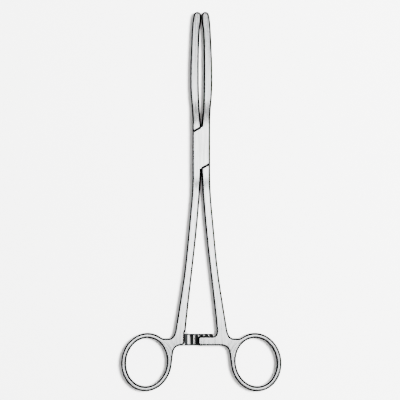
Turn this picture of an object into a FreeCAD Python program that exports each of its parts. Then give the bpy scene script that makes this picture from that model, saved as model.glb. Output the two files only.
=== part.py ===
import FreeCAD
import Part
import math
import os

# Straight tubing forceps with a box lock and a ratchet, lying shut on a bench. Millimetres.
# +Y runs from the finger rings to the jaw tips, +X to the right and +Z up through the thickness.
# The pin's axis is the Z axis, and the underside of the box lies on Z = 0.
# The box arm is the left handle, the box and the right jaw. The tenon arm is the right handle,
# the tenon inside the box and the left jaw. Handles are drawn on the left and jaws on the right,
# as upper halves, and mirrored to where they belong.

# Box lock
BOX_HALF_WIDTH = 4.8
BOX_THICKNESS = 6.2
SHOULDER_CORNER_Y = 8.3
SHOULDER_BEVEL = 0.2
TENON_THICKNESS = 2.3
OPEN_STOP_DEG = 55.0

# Joint pin
PIN_RADIUS = 1.6
PIN_HEAD_RADIUS = 2.0
PIN_HEAD_DEPTH = 0.4
PIN_END_DEPTH = 0.02

# Clearances between the two arms
MEETING_GAP = 0.05
SHOULDER_GAP = 0.06
TENON_FACE_GAP = 0.04
TENON_SIDE_INSET = 0.05
PIN_RUNNING_GAP = 0.03
CREST_GAP = 0.05

# Rounding of every outside edge
EDGE_RADIUS = 1.1

# Straight stretch of each jaw and shank next to the box
BOX_END_LENGTH = 0.6

# Whole length, and the part of it from the pin to the jaw tips
OVERALL_LENGTH = 203.0
JAW_LENGTH = 72.8

# Jaws
JAW_THICKNESS = 4.4
JAW_FADE_LENGTH = 15.0
JAW_ROOT_SLOPE = 0.1
JAW_BOW_X = 1.3
JAW_BOW_Y = 38.0
JAW_BELLY_X = 6.0
JAW_BELLY_Y = 36.0
JAW_NOSE_Y = 61.5
JAW_NOSE_INNER_X = 0.85
JAW_NOSE_OUTER_X = 5.2
JAW_NOSE_SLOPE = 0.05
TIP_RADIUS = 2.1
TIP_OUTER_DEG = 12.0
JAW_CONTACT_LENGTH = 0.8

# Shanks
SHANK_FADE_LENGTH = 15.0
SHANK_PARTING_LENGTH = 1.8
SHANK_PARTING_SLOPE = 0.05
SHANK_WAIST_OUTER_X = 7.8
SHANK_WAIST_INNER_X = 3.4
SHANK_WAIST_OUTER_SLOPE = 0.092
SHANK_WAIST_INNER_SLOPE = 0.112
SHANK_FOOT_OUTER_X = 13.9
SHANK_FOOT_INNER_X = 8.2
SHANK_FOOT_OUTER_SLOPE = 0.165
SHANK_FOOT_INNER_SLOPE = 0.1

# Finger rings
HANDLE_THICKNESS = 4.6
RING_CENTRE_X = 29.3
RING_BORE_HALF_WIDTH = 10.8
RING_BORE_HALF_LENGTH = 12.9
RING_BAR_WIDTH = 2.8
RING_TILT_DEG = 9.0
RING_TOP_JOIN_DEG = 66.0
RING_SIDE_JOIN_DEG = 4.0
NOTCH_X = 17.4
NOTCH_OVER_RING_CENTRE = 12.75

# Ratchet
RATCHET_OVER_RING_CENTRE = 8.85
RATCHET_WALL_X = 8.9
RATCHET_CORNER = 2.0
FOOT_OVER_BAR = 2.3
BAR_CORNER = 1.5
LEFT_BAR_WIDTH = 6.2
LEFT_BAR_REACH = 7.0
LEFT_BAR_TEETH = 5
RIGHT_BAR_WIDTH = 5.1
RIGHT_BAR_REACH = 1.8
RIGHT_BAR_TEETH = 3
TOOTH_PITCH = 2.6
TOOTH_HEIGHT = 0.7
TOOTH_CREST = 0.3
TOOTH_LEAN = 0.15
TOOTH_END_LAND = 0.7

# Worked out from the sizes above
MID_Z = BOX_THICKNESS / 2
HALF_MEETING = MEETING_GAP / 2
SHOULDER_TILT = math.atan2(BOX_HALF_WIDTH, SHOULDER_CORNER_Y)
SHOULDER_DISTANCE = math.hypot(BOX_HALF_WIDTH, SHOULDER_CORNER_Y)
BOX_HALF_LENGTH = SHOULDER_CORNER_Y + BOX_HALF_WIDTH * math.tan(SHOULDER_TILT)
SLOT_RADIUS = BOX_HALF_WIDTH / math.cos(math.radians(OPEN_STOP_DEG / 2))
SLOT_THICKNESS = TENON_THICKNESS + 2 * TENON_FACE_GAP
TILT = math.radians(RING_TILT_DEG)
RING_REACH_Y = math.hypot(
    (RING_BORE_HALF_LENGTH + RING_BAR_WIDTH) * math.cos(TILT),
    (RING_BORE_HALF_WIDTH + RING_BAR_WIDTH) * math.sin(TILT),
)
RING_CENTRE_Y = JAW_LENGTH - OVERALL_LENGTH + RING_REACH_Y
BAR_BOTTOM_Y = RING_CENTRE_Y + RATCHET_OVER_RING_CENTRE
SHANK_FOOT_Y = BAR_BOTTOM_Y + LEFT_BAR_WIDTH + FOOT_OVER_BAR
FAR = 400.0
TOUCHING = 1e-3


def point(x, y, z=0.0):
    return FreeCAD.Vector(x, y, z)


UP = point(0, 1)
DOWN = point(0, -1)
LEFT = point(-1, 0)
RIGHT = point(1, 0)


def polar(centre, radius, degrees):
    angle = math.radians(degrees)
    return centre + point(radius * math.cos(angle), radius * math.sin(angle))


def line(a, b):
    return Part.LineSegment(a, b).toShape()


def path(points):
    """Straight edges through the points, in order."""
    return [line(a, b) for a, b in zip(points, points[1:])]


def tangent_arc(start, corner, end):
    """The arc from start to end whose end tangents meet at corner."""
    middle = (start + end) / 2
    share = (middle - start).Length / (corner - start).Length
    return Part.Arc(start, middle + (corner - middle) * (share / (1 + share)), end).toShape()


def two_arcs(start, leaving, end, arriving):
    """Two arcs that meet smoothly, from start along one direction to end along the other."""
    leave = FreeCAD.Vector(leaving).normalize()
    arrive = FreeCAD.Vector(arriving).normalize()
    span = end - start
    along = span.dot(leave + arrive)
    turn = 2 * (1 - leave.dot(arrive))
    reach = span.dot(span) / (along + math.sqrt(along ** 2 + turn * span.dot(span)))
    first_corner = start + leave * reach
    last_corner = end - arrive * reach
    joint = (first_corner + last_corner) / 2
    return [tangent_arc(start, first_corner, joint), tangent_arc(joint, last_corner, end)]


def arc(centre, radius, from_deg, to_deg):
    ends = [polar(centre, radius, angle) for angle in (from_deg, (from_deg + to_deg) / 2, to_deg)]
    return Part.Arc(*ends).toShape()


def prism(edges, low_z, high_z):
    """The closed plan outline, given as edges end to end, as an upright solid."""
    face = Part.Face(Part.Wire(edges))
    face.translate(point(0, 0, low_z))
    return face.extrude(point(0, 0, high_z - low_z))


def block(low_x, high_x, low_y, high_y, low_z, high_z):
    corner = point(low_x, low_y, low_z)
    return Part.makeBox(high_x - low_x, high_y - low_y, high_z - low_z, corner)


def disc(radius, low_z, high_z):
    return Part.makeCylinder(radius, high_z - low_z, point(0, 0, low_z))


def other_side(shape):
    """The shape mirrored across the centre line, left for right."""
    return shape.mirror(point(0, 0, 0), point(1, 0, 0))


def underside(shape):
    """The shape mirrored through the mid-plane, front for back."""
    return shape.mirror(point(0, 0, MID_Z), point(0, 0, 1))


def half_turned(shape):
    """The shape turned by half a turn about the pin."""
    turned = shape.copy()
    turned.rotate(point(0, 0, 0), point(0, 0, 1), 180)
    return turned


def only_solid(shape):
    return shape.Solids[0]


def fused(shapes):
    return only_solid(shapes[0].multiFuse(shapes[1:]).removeSplitter())


def side_view(near_y, level_y, level_thickness):
    """The room over the mid-plane, from the box's end at near_y outwards. Its top falls in an S
    from the box's thickness to level_thickness at level_y, and is level from there on."""
    onward = UP if level_y > near_y else DOWN
    near = point(0, near_y, BOX_THICKNESS)
    fall = near + onward * BOX_END_LENGTH
    level = point(0, level_y, MID_Z + level_thickness / 2)
    far_top = level + onward * FAR
    far_foot = point(0, far_top.y, MID_Z)
    near_foot = point(0, near_y, MID_Z)
    edges = [
        line(near_foot, near),
        line(near, fall),
        *two_arcs(fall, onward, level, onward),
        line(level, far_top),
        line(far_top, far_foot),
        line(far_foot, near_foot),
    ]
    face = Part.Face(Part.Wire(edges))
    face.translate(point(-FAR / 2, 0, 0))
    return face.extrude(point(FAR, 0, 0))


def outside_edges(solid, near_y):
    """The edges round the outer face: not upright, not in the mid-plane, not in the end plane."""
    found = []
    for edge in solid.Edges:
        box = edge.BoundBox
        upright = box.XLength < TOUCHING and box.YLength < TOUCHING
        at_middle = abs(box.ZMax - MID_Z) < TOUCHING
        at_end = abs(box.YMin - near_y) < TOUCHING and abs(box.YMax - near_y) < TOUCHING
        if not (upright or at_middle or at_end):
            found.append(edge)
    return found


def rounded_half(blank, side, near_y):
    """The blank under its side view, with the edges of its outer face rounded."""
    body = only_solid(blank.common(side))
    return body.makeFillet(EDGE_RADIUS, outside_edges(body, near_y))


def jaw():
    """The right jaw from the end of the box to its rounded tip, both halves."""
    root_inner = point(HALF_MEETING, BOX_HALF_LENGTH)
    root_outer = point(BOX_HALF_WIDTH, BOX_HALF_LENGTH)
    swell_outer = root_outer + UP * BOX_END_LENGTH
    bow = point(JAW_BOW_X, JAW_BOW_Y)
    belly = point(JAW_BELLY_X, JAW_BELLY_Y)
    nose_inner = point(JAW_NOSE_INNER_X, JAW_NOSE_Y)
    nose_outer = point(JAW_NOSE_OUTER_X, JAW_NOSE_Y)
    nose_way = point(-JAW_NOSE_SLOPE, 1)
    tip_centre = point(HALF_MEETING + TIP_RADIUS, JAW_LENGTH - TIP_RADIUS)
    contact_top = point(HALF_MEETING, tip_centre.y)
    contact_foot = contact_top + DOWN * JAW_CONTACT_LENGTH
    tip_outer = polar(tip_centre, TIP_RADIUS, TIP_OUTER_DEG)
    off_tip = polar(point(0, 0), 1, TIP_OUTER_DEG - 90)
    outline = [
        *two_arcs(root_inner, point(JAW_ROOT_SLOPE, 1), bow, UP),
        *two_arcs(bow, UP, nose_inner, nose_way),
        *two_arcs(nose_inner, nose_way, contact_foot, UP),
        line(contact_foot, contact_top),
        arc(tip_centre, TIP_RADIUS, 180.0, TIP_OUTER_DEG),
        *two_arcs(tip_outer, off_tip, nose_outer, -nose_way),
        *two_arcs(nose_outer, -nose_way, belly, DOWN),
        *two_arcs(belly, DOWN, swell_outer, DOWN),
        line(swell_outer, root_outer),
        line(root_outer, root_inner),
    ]
    blank = prism(outline, MID_Z, BOX_THICKNESS)
    side = side_view(BOX_HALF_LENGTH, BOX_HALF_LENGTH + JAW_FADE_LENGTH, JAW_THICKNESS)
    upper = rounded_half(blank, side, BOX_HALF_LENGTH)
    return fused([upper, underside(upper)])


def ring_curve(grow):
    """The ellipse of the left finger ring's bore, or one that stands outside it by grow."""
    centre = point(-RING_CENTRE_X, RING_CENTRE_Y)
    long_way = polar(point(0, 0), 1, 90 - RING_TILT_DEG)
    wide_way = polar(point(0, 0), 1, 180 - RING_TILT_DEG)
    long_end = centre + long_way * (RING_BORE_HALF_LENGTH + grow)
    wide_end = centre + wide_way * (RING_BORE_HALF_WIDTH + grow)
    return Part.Ellipse(long_end, wide_end, centre)


def handle_outline(inner_side):
    """The left handle's outline. inner_side gives the edges from the end of the lower curve to
    the foot of the shank's inner side."""
    shank_outer = point(-BOX_HALF_WIDTH, -BOX_HALF_LENGTH)
    spread_outer = shank_outer + DOWN * BOX_END_LENGTH
    shank_inner = point(-HALF_MEETING, -BOX_HALF_LENGTH)
    parting = shank_inner + DOWN * SHANK_PARTING_LENGTH
    waist_y = (SHANK_FOOT_Y - BOX_HALF_LENGTH) / 2
    waist_outer = point(-SHANK_WAIST_OUTER_X, waist_y)
    waist_inner = point(-SHANK_WAIST_INNER_X, waist_y)
    foot_outer = point(-SHANK_FOOT_OUTER_X, SHANK_FOOT_Y)
    foot_inner = point(-SHANK_FOOT_INNER_X, SHANK_FOOT_Y)
    down_outer_waist = point(-SHANK_WAIST_OUTER_SLOPE, -1)
    down_outer_foot = point(-SHANK_FOOT_OUTER_SLOPE, -1)
    up_inner_foot = point(SHANK_FOOT_INNER_SLOPE, 1)
    up_inner_waist = point(SHANK_WAIST_INNER_SLOPE, 1)
    notch = point(-NOTCH_X, RING_CENTRE_Y + NOTCH_OVER_RING_CENTRE)
    ring = ring_curve(RING_BAR_WIDTH)
    top_join = math.radians(RING_TOP_JOIN_DEG - 90)
    side_join = math.radians(RING_SIDE_JOIN_DEG + 270)
    onto_ring = ring.tangent(top_join)[0]
    off_ring = ring.tangent(side_join)[0]
    curve_end = point(-RATCHET_WALL_X - RATCHET_CORNER, BAR_BOTTOM_Y)
    return [
        line(shank_outer, spread_outer),
        *two_arcs(spread_outer, DOWN, waist_outer, down_outer_waist),
        *two_arcs(waist_outer, down_outer_waist, foot_outer, down_outer_foot),
        *two_arcs(foot_outer, down_outer_foot, notch, LEFT),
        *two_arcs(notch, LEFT, ring.value(top_join), onto_ring),
        Part.ArcOfEllipse(ring, top_join, side_join).toShape(),
        *two_arcs(ring.value(side_join), off_ring, curve_end, RIGHT),
        *inner_side(curve_end, foot_inner, up_inner_foot),
        *two_arcs(foot_inner, up_inner_foot, waist_inner, up_inner_waist),
        *two_arcs(waist_inner, up_inner_waist, parting, point(SHANK_PARTING_SLOPE, 1)),
        line(parting, shank_inner),
        line(shank_inner, shank_outer),
    ]


def plain_inner_side(curve_end, foot_inner, up_foot):
    """The wall that faces the other arm's ratchet bar."""
    corner_centre = curve_end + UP * RATCHET_CORNER
    wall_foot = corner_centre + RIGHT * RATCHET_CORNER
    wall_top = point(wall_foot.x, foot_inner.y - RATCHET_CORNER)
    return [
        arc(corner_centre, RATCHET_CORNER, -90, 0),
        line(wall_foot, wall_top),
        *two_arcs(wall_top, UP, foot_inner, up_foot),
    ]


def bar_inner_side(width, reach):
    """The ratchet bar's outline, from the handle to the bar's rounded end and back."""

    def edges(curve_end, foot_inner, up_foot):
        low_corner = point(reach - BAR_CORNER, curve_end.y + BAR_CORNER)
        high_corner = low_corner + UP * (width - 2 * BAR_CORNER)
        root = point(foot_inner.x + RATCHET_CORNER, curve_end.y + width)
        return [
            line(curve_end, low_corner + DOWN * BAR_CORNER),
            arc(low_corner, BAR_CORNER, -90, 0),
            line(low_corner + RIGHT * BAR_CORNER, high_corner + RIGHT * BAR_CORNER),
            arc(high_corner, BAR_CORNER, 0, 90),
            line(high_corner + UP * BAR_CORNER, root),
            *two_arcs(root, LEFT, foot_inner, up_foot),
        ]

    return edges


def handle_half(inner_side):
    """The upper half of the left handle: shank, ring and what inner_side draws."""
    blank = prism(handle_outline(inner_side), MID_Z, BOX_THICKNESS)
    bore = prism([ring_curve(0.0).toShape()], MID_Z, BOX_THICKNESS)
    level_y = -BOX_HALF_LENGTH - SHANK_FADE_LENGTH
    side = side_view(-BOX_HALF_LENGTH, level_y, HANDLE_THICKNESS)
    return rounded_half(blank.cut(bore), side, -BOX_HALF_LENGTH)


def tooth_gullets(width, reach, count):
    """What the ratchet teeth leave free under an upper bar: a shallow clearance below the crests,
    and one gullet per tooth with its steep flank towards the handle."""
    crest_z = MID_Z + CREST_GAP / 2
    root_z = crest_z + TOOTH_HEIGHT
    floor_z = 0
    end_x = reach + BAR_CORNER
    steps = [point(-RATCHET_WALL_X, 0, floor_z), point(-RATCHET_WALL_X, 0, crest_z)]
    first_crest_x = reach - TOOTH_END_LAND - TOOTH_PITCH * count
    for tooth in range(count):
        crest_x = first_crest_x + TOOTH_PITCH * tooth
        steps.append(point(crest_x + TOOTH_CREST, 0, crest_z))
        steps.append(point(crest_x + TOOTH_PITCH - TOOTH_LEAN, 0, root_z))
        steps.append(point(crest_x + TOOTH_PITCH, 0, crest_z))
    steps.append(point(end_x, 0, crest_z))
    steps.append(point(end_x, 0, floor_z))
    face = Part.Face(Part.makePolygon(steps + steps[:1]))
    face.translate(point(0, BAR_BOTTOM_Y - BAR_CORNER, 0))
    return face.extrude(point(0, width + 2 * BAR_CORNER, 0))


def handle(bar_width, reach, teeth):
    """The whole left handle, with its ratchet bar in the upper half and a wall below it."""
    upper = handle_half(bar_inner_side(bar_width, reach))
    lower = underside(handle_half(plain_inner_side))
    toothed = upper.cut(tooth_gullets(bar_width, reach, teeth))
    return fused([only_solid(toothed), lower])


def box_bar():
    """A long bar with the section of the box lock, its long edges rounded."""
    width = BOX_HALF_WIDTH
    length = FAR / 2
    whole = block(-width, width, -length, length, 0, BOX_THICKNESS)
    long_edges = [edge for edge in whole.Edges if edge.BoundBox.YLength > length]
    return whole.makeFillet(EDGE_RADIUS, long_edges)


def beyond_shoulder(distance):
    """All that lies past the upper left shoulder, a plane that stands off the pin by distance."""
    slab = block(-FAR / 2, FAR / 2, distance, FAR, -1, BOX_THICKNESS + 1)
    slab.rotate(point(0, 0, 0), point(0, 0, 1), math.degrees(SHOULDER_TILT))
    return slab


def bevelled(solid, distance):
    """The solid with the edges of its upper left shoulder bevelled."""
    across = polar(point(0, 0), 1, 90 + math.degrees(SHOULDER_TILT))
    found = []
    for edge in solid.Edges:
        offsets = [vertex.Point.dot(across) - distance for vertex in edge.Vertexes]
        if max(map(abs, offsets)) < TOUCHING:
            found.append(edge)
    return solid.makeChamfer(SHOULDER_BEVEL, found)


def neck(side_x, inner_x, low_z, high_z):
    """The upper left quarter of the lock, between two upright planes."""
    return block(side_x, inner_x, 0, BOX_HALF_LENGTH, low_z, high_z)


def slot():
    """The passage through the box: round about the pin, open to the sides the tenon swings to."""
    low_z = MID_Z - SLOT_THICKNESS / 2
    high_z = MID_Z + SLOT_THICKNESS / 2
    quarter = neck(-FAR, HALF_MEETING, low_z, high_z)
    return fused([disc(SLOT_RADIUS, low_z, high_z), quarter, half_turned(quarter)])


def tenon():
    """The thinned middle of the tenon arm, with both its necks."""
    low_z = MID_Z - TENON_THICKNESS / 2
    high_z = MID_Z + TENON_THICKNESS / 2
    side = BOX_HALF_WIDTH - TENON_SIDE_INSET
    between = block(-side, side, -BOX_HALF_LENGTH, BOX_HALF_LENGTH, low_z, high_z)
    middle = disc(SLOT_RADIUS - MEETING_GAP, low_z, high_z).common(between)
    quarter = neck(-side, -HALF_MEETING, low_z, high_z)
    return fused([middle, quarter, half_turned(quarter)])


def pin(end_depth):
    """The joint pin with its two countersunk heads. Its ends lie end_depth under the cheeks."""
    slope = (PIN_HEAD_RADIUS - PIN_RADIUS) / PIN_HEAD_DEPTH
    end_radius = PIN_HEAD_RADIUS - slope * end_depth
    section = path([
        point(0, 0, end_depth),
        point(end_radius, 0, end_depth),
        point(PIN_RADIUS, 0, PIN_HEAD_DEPTH),
        point(PIN_RADIUS, 0, BOX_THICKNESS - PIN_HEAD_DEPTH),
        point(end_radius, 0, BOX_THICKNESS - end_depth),
        point(0, 0, BOX_THICKNESS - end_depth),
        point(0, 0, end_depth),
    ])
    return Part.Face(Part.Wire(section)).revolve(point(0, 0, 0), point(0, 0, 1), 360)


def box_arm():
    """Left finger ring, lower ratchet bar, left shank, slotted box and right jaw."""
    past = beyond_shoulder(SHOULDER_DISTANCE)
    bar = only_solid(box_bar().cut(past).cut(half_turned(past)))
    bar = bevelled(half_turned(bevelled(bar, SHOULDER_DISTANCE)), SHOULDER_DISTANCE)
    length = BOX_HALF_LENGTH
    box = bar.common(block(-FAR, FAR, -length, length, 0, BOX_THICKNESS)).cut(slot())
    lower_bar_handle = underside(handle(LEFT_BAR_WIDTH, LEFT_BAR_REACH, LEFT_BAR_TEETH))
    return only_solid(fused([box, jaw(), lower_bar_handle]).cut(pin(0.0)))


def tenon_arm():
    """Right finger ring, upper ratchet bar, right shank, tenon and left jaw."""
    distance = SHOULDER_DISTANCE + SHOULDER_GAP
    end = bevelled(only_solid(box_bar().common(beyond_shoulder(distance))), distance)
    shoulder = end.common(neck(-FAR, -HALF_MEETING, 0, BOX_THICKNESS))
    upper_bar_handle = other_side(handle(RIGHT_BAR_WIDTH, RIGHT_BAR_REACH, RIGHT_BAR_TEETH))
    pieces = [tenon(), shoulder, half_turned(shoulder), other_side(jaw()), upper_bar_handle]
    hole = disc(PIN_RADIUS + PIN_RUNNING_GAP, 0, BOX_THICKNESS)
    return only_solid(fused(pieces).cut(hole))


def main():
    os.makedirs("parts", exist_ok=True)
    nodes = {"box_arm": box_arm(), "tenon_arm": tenon_arm(), "joint_pin": pin(PIN_END_DEPTH)}
    for name, shape in nodes.items():
        print(name, shape.isValid(), shape.ShapeType, round(shape.Volume, 1), len(shape.Faces))
        shape.exportStep("parts/" + name + ".step")


if __name__ == "__main__":
    main()
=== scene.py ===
import math

import bpy
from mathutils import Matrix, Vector


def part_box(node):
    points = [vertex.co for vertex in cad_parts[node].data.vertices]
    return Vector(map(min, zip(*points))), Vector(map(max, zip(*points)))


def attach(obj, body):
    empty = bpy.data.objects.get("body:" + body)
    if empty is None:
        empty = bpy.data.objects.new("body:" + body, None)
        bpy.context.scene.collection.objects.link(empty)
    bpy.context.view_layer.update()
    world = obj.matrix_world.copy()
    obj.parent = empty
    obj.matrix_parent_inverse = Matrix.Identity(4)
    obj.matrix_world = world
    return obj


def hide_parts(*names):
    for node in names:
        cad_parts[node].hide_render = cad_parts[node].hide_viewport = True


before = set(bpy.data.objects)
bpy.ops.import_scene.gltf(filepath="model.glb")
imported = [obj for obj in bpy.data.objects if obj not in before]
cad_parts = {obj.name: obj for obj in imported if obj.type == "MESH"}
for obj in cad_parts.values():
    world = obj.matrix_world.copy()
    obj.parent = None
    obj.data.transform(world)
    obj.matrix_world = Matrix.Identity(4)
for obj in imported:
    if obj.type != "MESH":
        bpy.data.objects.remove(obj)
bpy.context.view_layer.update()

bl_info = {
    "name": "Tubing forceps looks",
    "version": (1, 0, 0),
    "blender": (4, 5, 0),
    "location": "3D View > Sidebar > Forceps",
    "description": "Finishes the two arms and the joint pin of the forceps, and sets the stage",
    "category": "Object",
}

# The instrument lies in the XY plane, rings at -Y and jaw tips at +Y, with the pin on the Z axis.
# Lengths are in metres, unless a name or a comment says millimetres.
MM = 0.001
PIN_LOW, PIN_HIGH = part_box("joint_pin")
MIDDLE_Z = (PIN_LOW.z + PIN_HIGH.z) / 2

# The box lock in millimetres. The left shoulder stands square to the line from the pin's axis
# to the upper left corner, and the arms leave a gap there.
BOX_HALF_WIDTH = 4.8
SHOULDER_CORNER_Y = 8.3
SHOULDER_GAP = 0.06


def linear(hex_colour):
    """An sRGB colour such as "D8DADB" as linear RGBA."""
    channels = [int(hex_colour[i:i + 2], 16) / 255 for i in (0, 2, 4)]
    return [c / 12.92 if c <= 0.04045 else ((c + 0.055) / 1.055) ** 2.4 for c in channels] + [1.0]


def add(tree, kind, inputs=(), **settings):
    """Adds a node with its settings. inputs are given in socket order, or by name or number.
    Each is a value, the socket it is linked from, or a node, which gives its first output."""
    node = tree.nodes.new(kind)
    for name, value in settings.items():
        setattr(node, name, value)
    for key, value in inputs.items() if isinstance(inputs, dict) else enumerate(inputs):
        source = value.outputs[0] if isinstance(value, bpy.types.Node) else value
        if isinstance(source, bpy.types.NodeSocket):
            tree.links.new(source, node.inputs[key])
        else:
            node.inputs[key].default_value = source
    return node


# Materials

MATH, VECTOR, NOISE = "ShaderNodeMath", "ShaderNodeVectorMath", "ShaderNodeTexNoise"
MIX, RANGE, JOIN, SPLIT = (
    "ShaderNodeMix", "ShaderNodeMapRange", "ShaderNodeCombineXYZ", "ShaderNodeSeparateXYZ")
SOFT = {"interpolation_type": "SMOOTHSTEP"}

# A Mix of colours takes its share at socket 0 and its colours at 6 and 7, a Mix of numbers
# takes them at 0, 2 and 3.
COLOUR = {"data_type": "RGBA"}

# A noise stays mostly near 0.5. These are the ends that it is spread out from.
LINE_ENDS = (0.3, 0.7)
SCRATCH_ENDS = (0.4, 0.6)
CLOUD_ENDS = (0.35, 0.65)
FILM_ENDS = (0.35, 0.7)

# Where a tone begins and ends, as the cosine of a face's angle to level.
LEANING = (0.86, 0.995)
OFF_FLAT = (0.975, 0.996)
OFF_WALL = (0.1, 0.25)

# What the belt lines, the pin's polish, a lean, and the seams and rounded edges change in the
# satin roughness.
SATIN_SWING = (-0.04, 0.05)
PIN_POLISH = 0.03
LEANING_DULLS = 0.06
TRACE_DULLS = 0.75

# The roughness of the other finishes across their lines, and what a dark gullet adds.
TOOTH_ROUGHNESS = (0.16, 0.28)
GULLET_DULLS = 0.15
LOCK_ROUGHNESS = (0.12, 0.3)

# How deep the lines are pressed into each finish.
BELT_BUMP = {"Strength": 0.35, "Distance": 0.02 * MM}
CUTTER_BUMP = {"Strength": 0.3, "Distance": 0.02 * MM}
RUB_BUMP = {"Strength": 0.3, "Distance": 0.01 * MM}

# The ring's own lines give way to straight ones between its reach and this multiple of it.
RING_FADE = 1.15

# The shoulders lie where x times y is negative. These are the ends of that mask in square metres.
SHOULDER_SIDE = (-2 * MM * MM, MM * MM)

# The tooth steel's painted shade ends this far above the toothed bar.
BAR_FADE = 0.3 * MM

# The room in parts of a direction of length 1: the heights over which the walls brighten, how
# far to the side, to the front and up the screens begin, and how dark the front ones are.
WALL_RISE = (0.03, 0.3)
SCREEN_SIDE = (0.22, 0.45)
SCREEN_FRONT = (0.3, 0.5)
SCREEN_HEIGHT = (0.35, 0.55)
FRONT_SHARE = 0.5


def new_material(name):
    """An empty metal with its shader and output linked."""
    material = bpy.data.materials.new(name)
    material.use_nodes = True
    tree = material.node_tree
    tree.nodes.clear()
    shader = add(tree, "ShaderNodeBsdfPrincipled", {"Metallic": 1.0})
    add(tree, "ShaderNodeOutputMaterial", {"Surface": shader})
    return material, tree, shader


def belt_lines(tree, finish):
    """Fine belt lines, 0..1: along the jaws and shanks, and round the rings."""
    place = add(tree, "ShaderNodeTexCoord").outputs["Object"]
    split = add(tree, SPLIT, (place,)).outputs
    across = 1 / (finish.line_width * MM)
    along = 1 / (finish.line_length * MM)
    straight = add(tree, "ShaderNodeMapping", {"Vector": place, "Scale": (across, along, across)})
    side = add(tree, MATH, (split[0],), operation="ABSOLUTE")
    from_ring = add(tree, JOIN, (
        add(tree, MATH, (side, finish.ring_x * MM), operation="SUBTRACT"),
        add(tree, MATH, (split[1], finish.ring_y * MM), operation="SUBTRACT"),
    ))
    distance = add(tree, VECTOR, (from_ring,), operation="LENGTH").outputs["Value"]
    reach = finish.ring_reach * MM
    turn = reach * along
    way = add(tree, VECTOR, (
        add(tree, VECTOR, (from_ring,), operation="NORMALIZE"), (turn, turn, 0.0),
    ), operation="MULTIPLY")
    outward = add(tree, MATH, (distance, split[2]), operation="ADD")
    outward = add(tree, MATH, (outward, across), operation="MULTIPLY")
    round_ring = add(tree, VECTOR, (way, add(tree, JOIN, {2: outward})), operation="ADD")
    grain = {"Scale": 1.0, "Detail": 3.0, "Roughness": 0.55}
    lines = add(tree, NOISE, {**grain, "Vector": straight})
    rings = add(tree, NOISE, {**grain, "Vector": round_ring})
    near_ring = add(tree, RANGE, (distance, reach, reach * RING_FADE, 1.0, 0.0), **SOFT)
    return add(tree, MIX, {0: near_ring, 2: lines, 3: rings})


def seam_shade_mask(tree, finish):
    """How near a point is to the two diagonal shoulders of the box lock, 0..1: where the seams'
    painted shade goes.
    """
    place = add(tree, "ShaderNodeTexCoord").outputs["Object"]
    split = add(tree, SPLIT, (place,)).outputs
    square = (-math.sin(finish.shoulder_tilt), math.cos(finish.shoulder_tilt), 0.0)
    off = add(tree, VECTOR, (place, square), operation="DOT_PRODUCT").outputs["Value"]
    off = add(tree, MATH, (off,), operation="ABSOLUTE")
    off = add(tree, MATH, (off, finish.shoulder_distance * MM), operation="SUBTRACT")
    off = add(tree, MATH, (off,), operation="ABSOLUTE")
    width = finish.seam_width * MM
    near = add(tree, RANGE, (off, width / 2, width, 1.0, 0.0), **SOFT)
    # The left shoulder lies above the pin and the right one below it.
    quarter = add(tree, MATH, (split[0], split[1]), operation="MULTIPLY")
    quarter = add(tree, RANGE, (quarter, *SHOULDER_SIDE, 1.0, 0.0), **SOFT)
    return add(tree, MATH, (near, quarter), operation="MULTIPLY")


def edge_masks(tree):
    """How far a face leans from level, 0..1, and how much it belongs to a rounded edge, between
    the flats and the side walls, 0..1."""
    normal = add(tree, "ShaderNodeTexCoord").outputs["Normal"]
    upright = add(tree, MATH, (add(tree, SPLIT, (normal,)).outputs[2],), operation="ABSOLUTE")
    leaning = add(tree, RANGE, (upright, *LEANING, 1.0, 0.0), **SOFT)
    off_flat = add(tree, RANGE, (upright, *OFF_FLAT, 1.0, 0.0), **SOFT)
    off_wall = add(tree, RANGE, (upright, *OFF_WALL), **SOFT)
    return leaning, add(tree, MATH, (off_flat, off_wall), operation="MULTIPLY")


def steel(name, finish, light, dark, polished=0.0):
    """Stainless steel with belt lines, broad clouds, painted shade on the side walls and the
    rounded edges, and painted shade in the lock's seams. polished is taken off its roughness."""
    material, tree, shader = new_material(name)
    place = add(tree, "ShaderNodeTexCoord").outputs["Object"]
    lines = belt_lines(tree, finish)
    leaning, rounded = edge_masks(tree)
    seam = seam_shade_mask(tree, finish)
    # Handling and steam leave broad, barely seen clouds about 15 mm across.
    cloud_size = 15 * MM
    clouds = add(tree, NOISE, {"Vector": place, "Scale": 1 / cloud_size, "Detail": 2.0})
    clouds = add(tree, RANGE, (clouds, *CLOUD_ENDS), **SOFT)
    colour = add(tree, MIX, {0: clouds, 6: linear(dark), 7: linear(light)}, **COLOUR).outputs[2]
    scratch = add(tree, RANGE, (lines, *SCRATCH_ENDS, finish.line_depth, 0.0), **SOFT)
    # The belt lines darken the colour for real. The side walls, the rounded edges and the seams
    # get painted shade.
    for share, tone in (
        (scratch, finish.line_colour), (leaning, finish.wall_shade_colour),
        (rounded, finish.rounded_edge_shade_colour), (seam, finish.seam_shade_colour),
    ):
        colour = add(tree, MIX, {0: share, 6: colour, 7: linear(tone)}, **COLOUR).outputs[2]
    tree.links.new(colour, shader.inputs["Base Color"])
    low, high = (finish.roughness - polished + swing for swing in SATIN_SWING)
    rough = add(tree, RANGE, (lines, *LINE_ENDS, low, high), **SOFT)
    dull = add(tree, MATH, (leaning, LEANING_DULLS), operation="MULTIPLY")
    trace = add(tree, MATH, (seam, rounded), operation="MAXIMUM")
    dull = add(tree, MATH, (trace, TRACE_DULLS, dull), operation="MULTIPLY_ADD")
    rough = add(tree, MATH, (rough, dull), operation="ADD")
    tree.links.new(rough.outputs[0], shader.inputs["Roughness"])
    bump = add(tree, "ShaderNodeBump", {**BELT_BUMP, "Height": lines})
    tree.links.new(bump.outputs[0], shader.inputs["Normal"])
    return material


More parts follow.
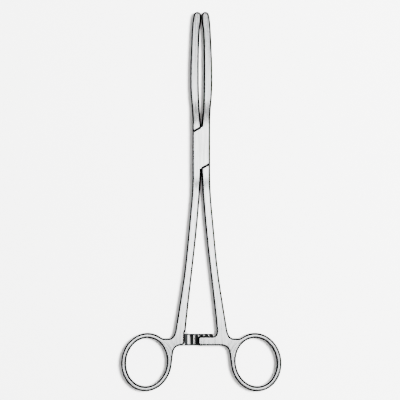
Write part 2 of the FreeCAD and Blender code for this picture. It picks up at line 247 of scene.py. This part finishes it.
def satin_steel(finish):
    """Hardened stainless steel, belt-satined lengthwise after forging: soft bright flats with
    faint lines that run with each limb. The belt misses the rounded edges, which keep the dull
    skin of the forging. Their colour, and that of the side walls, is painted shade, far darker
    than real steel, so that they draw each limb's outline."""
    return steel("satin_stainless_steel", finish, finish.steel_light, finish.steel_dark)


def pin_steel(finish):
    """The pin's ends, peened into the cheeks and ground flush with them: the same belt lines run
    over them, on metal that the hammer has closed up, so they shine a little more."""
    return steel("peened_pin_steel", finish, finish.steel_worn, finish.pin_dark, PIN_POLISH)


def tooth_steel(finish):
    """Ratchet teeth, milled across the bar and left as cut: bright crests that rub on each
    other, lines that run with the cutter, and painted shade that darkens the gullets with
    depth, the corner at the handle and both sides of the bar."""
    material, tree, shader = new_material("milled_tooth_steel")
    place = add(tree, "ShaderNodeTexCoord").outputs["Object"]
    # Cutter lines are about 0.05 mm apart, and drawn 0.3 mm apart so that they show. They run
    # on for 16 mm, so across the whole bar.
    line_width = 0.3 * MM
    line_length = 16 * MM
    scale = (1 / line_width, 1 / line_length, 1 / line_width)
    stretched = add(tree, "ShaderNodeMapping", {"Vector": place, "Scale": scale})
    lines = add(tree, NOISE, {"Vector": stretched, "Scale": 1.0})
    split = add(tree, SPLIT, (place,)).outputs
    # Painted shade: darker with depth below the crests, towards the handle and along the bar's
    # sides.
    depth = add(tree, MATH, (split[2], MIDDLE_Z), operation="SUBTRACT")
    depth = add(tree, MATH, (depth,), operation="ABSOLUTE")
    gullet = add(tree, RANGE, (depth, finish.gullet_start * MM, finish.gullet_end * MM), **SOFT)
    across = add(tree, MATH, (split[0],), operation="ABSOLUTE")
    corner = add(tree, RANGE, (across, finish.corner_start * MM, finish.corner_end * MM), **SOFT)
    gullet = add(tree, MATH, (gullet, corner), operation="MAXIMUM")
    for border, inward in ((finish.bar_low_y, 1), (finish.bar_high_y, -1)):
        far = (border + inward * finish.bar_side_shade_width) * MM
        near = (border + inward * finish.bar_side_shade_width / 2) * MM
        bar_side_shade = add(tree, RANGE, (split[1], near, far, 1.0, 0.0), **SOFT)
        gullet = add(tree, MATH, (gullet, bar_side_shade), operation="MAXIMUM")
    top = finish.bar_high_y * MM
    on_bar = add(tree, RANGE, (split[1], top, top + BAR_FADE, 1.0, 0.0), **SOFT)
    gullet = add(tree, MATH, (gullet, on_bar), operation="MULTIPLY")
    colour = add(tree, MIX, {
        0: gullet, 6: linear(finish.steel_worn), 7: linear(finish.gullet_shade_colour),
    }, **COLOUR)
    tree.links.new(colour.outputs[2], shader.inputs["Base Color"])
    rough = add(tree, RANGE, (lines, *LINE_ENDS, *TOOTH_ROUGHNESS), **SOFT)
    rough = add(tree, MATH, (gullet, GULLET_DULLS, rough), operation="MULTIPLY_ADD")
    tree.links.new(rough.outputs[0], shader.inputs["Roughness"])
    bump = add(tree, "ShaderNodeBump", {**CUTTER_BUMP, "Height": lines})
    tree.links.new(bump.outputs[0], shader.inputs["Normal"])
    return material


def lock_steel(finish):
    """The faces that slide inside the box lock, lapped flat and then marked by use: fine arcs
    round the pin, and a film of oil that darkens them unevenly."""
    material, tree, shader = new_material("lapped_lock_steel")
    place = add(tree, "ShaderNodeTexCoord").outputs["Object"]
    flat = add(tree, VECTOR, (place, (1.0, 1.0, 0.0)), operation="MULTIPLY")
    distance = add(tree, VECTOR, (flat,), operation="LENGTH").outputs["Value"]
    # Rub marks are hair-fine, and drawn 0.2 mm apart so that they show.
    mark_width = 0.2 * MM
    distance = add(tree, MATH, (distance, 1 / mark_width), operation="MULTIPLY")
    arcs = add(tree, NOISE, {"W": distance, "Scale": 1.0, "Detail": 2.0}, noise_dimensions="1D")
    # The film gathers in patches about 4.5 mm across.
    patch_size = 4.5 * MM
    film = add(tree, NOISE, {"Vector": place, "Scale": 1 / patch_size, "Detail": 3.0})
    film = add(tree, RANGE, (film, *FILM_ENDS), **SOFT)
    colour = add(tree, MIX, {
        0: film, 6: linear(finish.steel_dark), 7: linear(finish.film_colour),
    }, **COLOUR).outputs[2]
    # Painted shade along the shoulders' seams, as on the outer steel.
    seam = seam_shade_mask(tree, finish)
    colour = add(tree, MIX, {0: seam, 6: colour, 7: linear(finish.seam_shade_colour)}, **COLOUR)
    tree.links.new(colour.outputs[2], shader.inputs["Base Color"])
    rough = add(tree, RANGE, (arcs, *LINE_ENDS, *LOCK_ROUGHNESS), **SOFT)
    tree.links.new(rough.outputs[0], shader.inputs["Roughness"])
    bump = add(tree, "ShaderNodeBump", {**RUB_BUMP, "Height": arcs})
    tree.links.new(bump.outputs[0], shader.inputs["Normal"])
    return material


def painted_floor(stage):
    """A matt, very pale painted floor with a trace of mottle."""
    material, tree, shader = new_material("pale_matt_floor")
    matt_paint = {"Metallic": 0.0, "Roughness": 0.9, "Specular IOR Level": 0.1}
    for name, value in matt_paint.items():
        shader.inputs[name].default_value = value
    place = add(tree, "ShaderNodeTexCoord").outputs["Object"]
    mottle_size = 40 * MM
    mottle = add(tree, NOISE, {"Vector": place, "Scale": 1 / mottle_size, "Detail": 2.0})
    colour = add(tree, MIX, {
        0: mottle, 6: linear(stage.floor_dark), 7: linear(stage.floor_light),
    }, **COLOUR)
    tree.links.new(colour.outputs[2], shader.inputs["Base Color"])
    return material


def studio_room(stage):
    """Pale walls that dim towards the floor. High up stand a dark screen on the left and on the
    right and a half dark one at the front and at the back, which the steel mirrors where its
    edges begin to round."""
    world = bpy.data.worlds.new("room")
    world.use_nodes = True
    tree = world.node_tree
    tree.nodes.clear()
    way = add(tree, "ShaderNodeTexCoord").outputs["Generated"]
    split = add(tree, SPLIT, (way,)).outputs
    rise = add(tree, RANGE, (split[2], *WALL_RISE, stage.wall_foot, stage.wall_top), **SOFT)
    side = add(tree, MATH, (split[0],), operation="ABSOLUTE")
    front = add(tree, MATH, (split[1],), operation="ABSOLUTE")
    front = add(tree, RANGE, (front, *SCREEN_FRONT, 0.0, FRONT_SHARE), **SOFT)
    beside = add(tree, RANGE, (side, *SCREEN_SIDE), **SOFT)
    beside = add(tree, MATH, (beside, front), operation="MAXIMUM")
    above = add(tree, RANGE, (split[2], *SCREEN_HEIGHT), **SOFT)
    screen = add(tree, MATH, (beside, above), operation="MULTIPLY")
    screen = add(tree, MATH, (screen, stage.screen - 1, 1.0), operation="MULTIPLY_ADD")
    glow = add(tree, MATH, (rise, screen), operation="MULTIPLY")
    background = add(tree, "ShaderNodeBackground", {"Strength": glow})
    add(tree, "ShaderNodeOutputWorld", {"Surface": background})
    return world


# Geometry nodes

# Weighted Normal's weight. Above 50 it lets the larger face win, so that the flats stay flat.
FLAT_WEIGHT = 80


def within(tree, low, high):
    """True where the position lies between two corners."""
    place = add(tree, "GeometryNodeInputPosition").outputs[0]
    tests = []
    for operation, corner in (("GREATER_THAN", low), ("LESS_THAN", high)):
        # Compare takes two vectors at its sockets 4 and 5.
        test = add(tree, "FunctionNodeCompare", {4: place, 5: corner},
                   data_type="VECTOR", mode="ELEMENT", operation=operation)
        tests.append(test.outputs[0])
    return add(tree, "FunctionNodeBooleanMath", tests, operation="AND").outputs[0]


def finish_tree():
    """Welds a part's loose triangles, marks its sharp edges by angle and gives it its materials:
    one all over, and others inside two boxes, for the teeth and the inside of the lock."""
    tree = bpy.data.node_groups.new("forging_finish", "GeometryNodeTree")
    sockets = tree.interface
    sockets.new_socket("Geometry", in_out="INPUT", socket_type="NodeSocketGeometry")
    weld = sockets.new_socket("Weld Distance", in_out="INPUT", socket_type="NodeSocketFloat")
    weld.subtype = "DISTANCE"
    angle = sockets.new_socket("Smooth Angle", in_out="INPUT", socket_type="NodeSocketFloat")
    angle.subtype = "ANGLE"
    sockets.new_socket("Finish", in_out="INPUT", socket_type="NodeSocketMaterial")
    for part in ("Tooth", "Lock"):
        for corner in ("Low", "High"):
            sockets.new_socket(f"{part} {corner}", in_out="INPUT", socket_type="NodeSocketVector")
        sockets.new_socket(f"{part} Finish", in_out="INPUT", socket_type="NodeSocketMaterial")
    sockets.new_socket("Geometry", in_out="OUTPUT", socket_type="NodeSocketGeometry")
    given = add(tree, "NodeGroupInput").outputs
    shape = add(tree, "GeometryNodeMergeByDistance", {
        "Geometry": given["Geometry"], "Distance": given["Weld Distance"],
    }).outputs[0]
    bend = add(tree, "GeometryNodeInputMeshEdgeAngle").outputs[0]
    gentle = add(tree, "FunctionNodeCompare", {0: bend, 1: given["Smooth Angle"]},
                 operation="LESS_THAN").outputs[0]
    for domain, smooth in (("EDGE", gentle), ("FACE", True)):
        shape = add(tree, "GeometryNodeSetShadeSmooth", {
            "Geometry": shape, "Shade Smooth": smooth,
        }, domain=domain).outputs[0]
    shape = add(tree, "GeometryNodeRealizeInstances", (shape,)).outputs[0]
    shape = add(tree, "GeometryNodeSetMaterial", {
        "Geometry": shape, "Material": given["Finish"],
    }).outputs[0]
    for part in ("Tooth", "Lock"):
        shape = add(tree, "GeometryNodeSetMaterial", {
            "Geometry": shape, "Material": given[f"{part} Finish"],
            "Selection": within(tree, given[f"{part} Low"], given[f"{part} High"]),
        }).outputs[0]
    add(tree, "NodeGroupOutput", (shape,))
    return tree


def set_input(modifier, name, value):
    """Sets a named input of a Geometry Nodes modifier by its socket's identifier."""
    for item in modifier.node_group.interface.items_tree:
        if item.item_type == "SOCKET" and item.in_out == "INPUT" and item.name == name:
            modifier[item.identifier] = value
            return
    raise KeyError(name)


def evaluated(piece):
    """Turns the piece's modifiers into plain mesh."""
    graph = bpy.context.evaluated_depsgraph_get()
    mesh = bpy.data.meshes.new_from_object(piece.evaluated_get(graph))
    piece.modifiers.clear()
    piece.data = mesh
    mesh.name = piece.name


def finished_forging(name, node, body, materials, finish):
    """A welded and smoothed piece in place of a CAD node. materials are those of the whole
    piece, of the ratchet's toothed faces and of the faces inside the lock."""
    piece = bpy.data.objects.new(name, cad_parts[node].data.copy())
    bpy.context.scene.collection.objects.link(piece)
    piece.data.materials.clear()
    modifier = piece.modifiers.new("finish", "NODES")
    modifier.node_group = bpy.data.node_groups.get("forging_finish") or finish_tree()
    half = finish.tooth_height * MM
    lock = finish.lock_half_height * MM
    values = {
        "Weld Distance": finish.weld_distance * MM,
        "Smooth Angle": finish.smooth_angle,
        "Finish": materials[0],
        "Tooth Low": (-finish.tooth_x * MM, finish.tooth_low_y * MM, MIDDLE_Z - half),
        "Tooth High": (finish.tooth_x * MM, finish.tooth_high_y * MM, MIDDLE_Z + half),
        "Tooth Finish": materials[1],
        "Lock Low": (-finish.lock_x * MM, -finish.lock_y * MM, MIDDLE_Z - lock),
        "Lock High": (finish.lock_x * MM, finish.lock_y * MM, MIDDLE_Z + lock),
        "Lock Finish": materials[2],
    }
    for key, value in values.items():
        set_input(modifier, key, value)
    weighted = piece.modifiers.new("flats", "WEIGHTED_NORMAL")
    weighted.keep_sharp = True
    weighted.weight = FLAT_WEIGHT
    evaluated(piece)
    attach(piece, body)
    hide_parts(node)
    return piece


MADE = {}


def made_once(maker, finish):
    """The material that maker makes, made the first time only."""
    key = maker.__name__
    if key not in MADE:
        MADE[key] = maker(finish)
    return MADE[key]


# Settings


class ForcepsFinish(bpy.types.PropertyGroup):
    """Colours, lines and smoothing of the steel."""

    steel_light: bpy.props.StringProperty(
        name="Light steel", description="sRGB hex of the clean satin steel", default="E2E3E3")
    steel_dark: bpy.props.StringProperty(
        name="Clouded steel", description="sRGB hex of the handled patches", default="D2D4D5")
    steel_worn: bpy.props.StringProperty(
        name="Worn steel", description="sRGB hex of rubbed crests and the pin's ends",
        default="ECECEA")
    # Painted shade: the side walls are darkened, and the rounded edges made nearly black, so that
    # each limb has an outline.
    wall_shade_colour: bpy.props.StringProperty(
        name="Side walls", description="sRGB hex of the limbs' side walls", default="525456")
    rounded_edge_shade_colour: bpy.props.StringProperty(
        name="Rounded edges", description="sRGB hex of the limbs' rounded edges",
        default="0A0B0C")
    pin_dark: bpy.props.StringProperty(
        name="Pin", description="sRGB hex of the handled patches on the pin's ends",
        default="B9BBBC")
    # Painted shade in the gullets, in the corner at the handle and along the bar's sides.
    gullet_shade_colour: bpy.props.StringProperty(
        name="Gullet", description="sRGB hex of the trace in the ratchet's gullets",
        default="2E3031")
    film_colour: bpy.props.StringProperty(
        name="Oil film", description="sRGB hex of the film on the lock's sliding faces",
        default="8E9092")
    gullet_start: bpy.props.FloatProperty(
        name="Gullet start (mm)", description="Depth at which a gullet begins to darken",
        default=0.03, min=0.0, max=1.0)
    gullet_end: bpy.props.FloatProperty(
        name="Gullet end (mm)", description="Depth at which a gullet is fully dark",
        default=0.28, min=0.0, max=1.0)
    # Where the painted shade in the corner at the handle begins and ends.
    corner_start: bpy.props.FloatProperty(
        name="Corner start (mm)",
        description="Where the trace at the handle begins, from the middle",
        default=7.05, min=0.0, max=20.0)
    corner_end: bpy.props.FloatProperty(
        name="Corner end (mm)", description="Where the trace at the handle is fully dark",
        default=7.5, min=0.0, max=20.0)
    bar_low_y: bpy.props.FloatProperty(
        name="Bar foot (mm)", description="Lower side of the toothed bar", default=-105.7)
    bar_high_y: bpy.props.FloatProperty(
        name="Bar top (mm)", description="Upper side of the toothed bar", default=-99.5)
    bar_side_shade_width: bpy.props.FloatProperty(
        name="Broken burr (mm)", description="Width of the dark line along the bar's sides",
        default=1.0, min=0.0, max=3.0)
    # Painted shade that stands for the dark gap at the lock's shoulders.
    seam_shade_colour: bpy.props.StringProperty(
        name="Seam", description="sRGB hex of the dark trace at the lock's shoulders",
        default="141516")
    seam_width: bpy.props.FloatProperty(
        name="Seam width (mm)", description="How far the dark trace reaches from a shoulder",
        default=0.8, min=0.0, max=2.0)
    shoulder_tilt: bpy.props.FloatProperty(
        name="Shoulder tilt", description="Angle of the lock's shoulders to straight across",
        default=math.atan2(BOX_HALF_WIDTH, SHOULDER_CORNER_Y), subtype="ANGLE")
    shoulder_distance: bpy.props.FloatProperty(
        name="Shoulder distance (mm)",
        description="From the pin's axis to the middle of each shoulder's gap",
        default=math.hypot(BOX_HALF_WIDTH, SHOULDER_CORNER_Y) + SHOULDER_GAP / 2,
        min=0.0, max=50.0)
    tooth_x: bpy.props.FloatProperty(
        name="Teeth across (mm)", description="Half of the ratchet's span", default=8.8, min=0.0)
    tooth_low_y: bpy.props.FloatProperty(
        name="Teeth foot (mm)", description="Lower end of the ratchet", default=-106.0)
    tooth_high_y: bpy.props.FloatProperty(
        name="Teeth top (mm)", description="Upper end of the ratchet", default=-99.2)
    tooth_height: bpy.props.FloatProperty(
        name="Tooth height (mm)", description="Reach of the teeth from the mid-plane",
        default=0.8, min=0.0)
    lock_x: bpy.props.FloatProperty(
        name="Lock across (mm)", description="Half of the box lock's width", default=4.75, min=0.0)
    lock_y: bpy.props.FloatProperty(
        name="Lock along (mm)", description="Half of the box lock's length", default=11.0, min=0.0)
    lock_half_height: bpy.props.FloatProperty(
        name="Lock slot (mm)", description="Half of the slot's height", default=1.25, min=0.0)
    roughness: bpy.props.FloatProperty(
        name="Roughness", description="Mean roughness of the satin finish",
        default=0.18, min=0.05, max=0.6)
    line_colour: bpy.props.StringProperty(
        name="Belt lines", description="sRGB hex of the bottom of the belt lines",
        default="8F9294")
    line_depth: bpy.props.FloatProperty(
        name="Line depth", description="Share of that colour in the deepest lines",
        default=0.6, min=0.0, max=1.0)
    line_width: bpy.props.FloatProperty(
        name="Line width (mm)",
        description="Width of the belt lines, drawn coarser than the real 0.1 mm so they show",
        default=0.5, min=0.05, max=5.0)
    line_length: bpy.props.FloatProperty(
        name="Line length (mm)", description="Length of the belt lines",
        default=18.0, min=1.0, max=100.0)
    ring_x: bpy.props.FloatProperty(
        name="Ring centre across (mm)", description="Finger ring's centre from the centre line",
        default=29.3, min=0.0, max=100.0)
    ring_y: bpy.props.FloatProperty(
        name="Ring centre along (mm)", description="Finger ring's centre from the pin",
        default=-114.55, min=-300.0, max=0.0)
    ring_reach: bpy.props.FloatProperty(
        name="Ring reach (mm)", description="How far from its centre the ring's lines turn",
        default=16.5, min=1.0, max=50.0)
    weld_distance: bpy.props.FloatProperty(
        name="Weld distance (mm)", description="Corners nearer than this become one",
        default=0.001, min=0.0, max=0.1)
    smooth_angle: bpy.props.FloatProperty(
        name="Smooth angle", description="Edges that bend less than this are shaded smooth",
        default=math.radians(28), subtype="ANGLE")


class ForcepsStage(bpy.types.PropertyGroup):
    """Floor, lights and camera."""

    floor_light: bpy.props.StringProperty(
        name="Floor light", description="sRGB hex of the floor", default="F7F7F6")
    floor_dark: bpy.props.StringProperty(
        name="Floor mottle", description="sRGB hex of the floor's mottle", default="F3F3F2")
    floor_size: bpy.props.FloatProperty(
        name="Floor size", description="Side of the square floor",
        default=6.0, min=1.0, max=20.0, subtype="DISTANCE")
    aim_x: bpy.props.FloatProperty(
        name="Aim across", description="Where the camera looks, across the instrument",
        default=-0.0007, subtype="DISTANCE")
    aim_y: bpy.props.FloatProperty(
        name="Aim along", description="Where the camera looks, along the instrument",
        default=-0.02785, subtype="DISTANCE")
    camera_height: bpy.props.FloatProperty(
        name="Camera height", description="Height of the camera over the instrument's middle",
        default=0.8032, min=0.1, max=5.0, subtype="DISTANCE")
    lens: bpy.props.FloatProperty(
        name="Lens (mm)", description="Focal length of the camera",
        default=135.0, min=20.0, max=300.0)
    top_power: bpy.props.FloatProperty(
        name="Overhead light", description="Power of the overhead softbox",
        default=7.5, min=0.0, max=500.0, subtype="POWER")
    key_power: bpy.props.FloatProperty(
        name="Key light", description="Power of the key light on the right",
        default=110.0, min=0.0, max=500.0, subtype="POWER")
    wall_top: bpy.props.FloatProperty(
        name="Walls", description="Brightness of the walls and ceiling",
        default=1.35, min=0.0, max=5.0)
    screen: bpy.props.FloatProperty(
        name="Side screens", description="Share of the walls' brightness that the screens leave",
        default=0.1, min=0.0, max=1.0)
    wall_foot: bpy.props.FloatProperty(
        name="Wall foot", description="Brightness of the walls just above the floor",
        default=0.05, min=0.0, max=5.0)


# Operators and panel

# The softboxes: their sides, and their places in metres, with y from where the camera aims.
OVERHEAD_SIDES, OVERHEAD_PLACE = (0.36, 1.2), (0.03, 0.0, 1.3)
KEY_SIDES, KEY_PLACE = (0.3, 0.3), (0.43, 0.14, 1.13)

# The nearest and the farthest that the camera sees.
CAMERA_REACH = (0.01, 20.0)


class FORCEPS_OT_box_side(bpy.types.Operator):
    """Finish the arm with the box: left ring and shank, box, right jaw"""

    bl_idname = "forceps.box_side"
    bl_label = "Box side arm"

    def execute(self, context):
        finish = context.scene.forceps_finish
        steels = [made_once(maker, finish) for maker in (satin_steel, tooth_steel, lock_steel)]
        finished_forging("box_side_forging", "box_arm", "box_side", steels, finish)
        return {"FINISHED"}


class FORCEPS_OT_tenon_side(bpy.types.Operator):
    """Finish the arm with the tenon: right ring and shank, tenon, left jaw"""

    bl_idname = "forceps.tenon_side"
    bl_label = "Tenon side arm"

    def execute(self, context):
        finish = context.scene.forceps_finish
        steels = [made_once(maker, finish) for maker in (satin_steel, tooth_steel, lock_steel)]
        finished_forging(
            "tenon_side_forging", "tenon_arm", "tenon_side", steels, finish)
        return {"FINISHED"}


class FORCEPS_OT_joint_pin(bpy.types.Operator):
    """Finish the pin of the box lock"""

    bl_idname = "forceps.joint_pin"
    bl_label = "Joint pin"

    def execute(self, context):
        finish = context.scene.forceps_finish
        steels = [made_once(maker, finish) for maker in (pin_steel, tooth_steel, lock_steel)]
        finished_forging("lock_pin", "joint_pin", "box_side", steels, finish)
        return {"FINISHED"}


def softbox(name, power, sides, place, aim):
    """A rectangular light turned towards the aim."""
    light = bpy.data.lights.new(name, "AREA")
    light.energy = power
    light.shape = "RECTANGLE"
    light.size, light.size_y = sides
    lamp = bpy.data.objects.new(name, light)
    lamp.location = (place[0], aim[1] + place[1], place[2])
    lamp.rotation_euler = (Vector(aim) - lamp.location).to_track_quat("-Z", "Y").to_euler()
    bpy.context.scene.collection.objects.link(lamp)
    return lamp


class FORCEPS_OT_stage(bpy.types.Operator):
    """Make the floor, the lights and the camera"""

    bl_idname = "forceps.stage"
    bl_label = "Stage"

    def execute(self, context):
        stage = context.scene.forceps_stage
        half = stage.floor_size / 2
        mesh = bpy.data.meshes.new("floor")
        corners = [(-half, -half, 0), (half, -half, 0), (half, half, 0), (-half, half, 0)]
        mesh.from_pydata(corners, [], [(0, 1, 2, 3)])
        floor = bpy.data.objects.new("floor", mesh)
        mesh.materials.append(painted_floor(stage))
        context.scene.collection.objects.link(floor)

        aim = (stage.aim_x, stage.aim_y, MIDDLE_Z)
        softbox("overhead", stage.top_power, OVERHEAD_SIDES, OVERHEAD_PLACE, aim)
        key = softbox("key_right", stage.key_power, KEY_SIDES, KEY_PLACE, aim)
        # The key is there for the shadows. In the steel it would only be a hard white dot.
        key.visible_glossy = False

        context.scene.world = studio_room(stage)

        lens = bpy.data.cameras.new("camera")
        lens.lens = stage.lens
        lens.clip_start, lens.clip_end = CAMERA_REACH
        camera = bpy.data.objects.new("camera", lens)
        camera.location = (aim[0], aim[1], MIDDLE_Z + stage.camera_height)
        context.scene.collection.objects.link(camera)
        context.scene.camera = camera
        return {"FINISHED"}


class FORCEPS_PT_looks(bpy.types.Panel):
    """Sizes, colours and steps of the forceps"""

    bl_idname = "FORCEPS_PT_looks"
    bl_label = "Tubing forceps"
    bl_space_type = "VIEW_3D"
    bl_region_type = "UI"
    bl_category = "Forceps"

    def draw(self, context):
        for group in (context.scene.forceps_finish, context.scene.forceps_stage):
            box = self.layout.box()
            for name in group.bl_rna.properties.keys():
                if name not in ("rna_type", "name"):
                    box.prop(group, name)
        for operator in OPERATORS:
            self.layout.operator(operator.bl_idname)


OPERATORS = (
    FORCEPS_OT_box_side, FORCEPS_OT_tenon_side, FORCEPS_OT_joint_pin, FORCEPS_OT_stage,
)
CLASSES = (ForcepsFinish, ForcepsStage, *OPERATORS, FORCEPS_PT_looks)


def register():
    for cls in CLASSES:
        bpy.utils.register_class(cls)
    bpy.types.Scene.forceps_finish = bpy.props.PointerProperty(type=ForcepsFinish)
    bpy.types.Scene.forceps_stage = bpy.props.PointerProperty(type=ForcepsStage)


def unregister():
    del bpy.types.Scene.forceps_stage
    del bpy.types.Scene.forceps_finish
    for cls in reversed(CLASSES):
        bpy.utils.unregister_class(cls)


def main():
    register()
    bpy.ops.forceps.box_side()
    bpy.ops.forceps.tenon_side()
    bpy.ops.forceps.joint_pin()
    bpy.ops.forceps.stage()


if __name__ == "__main__":
    main()
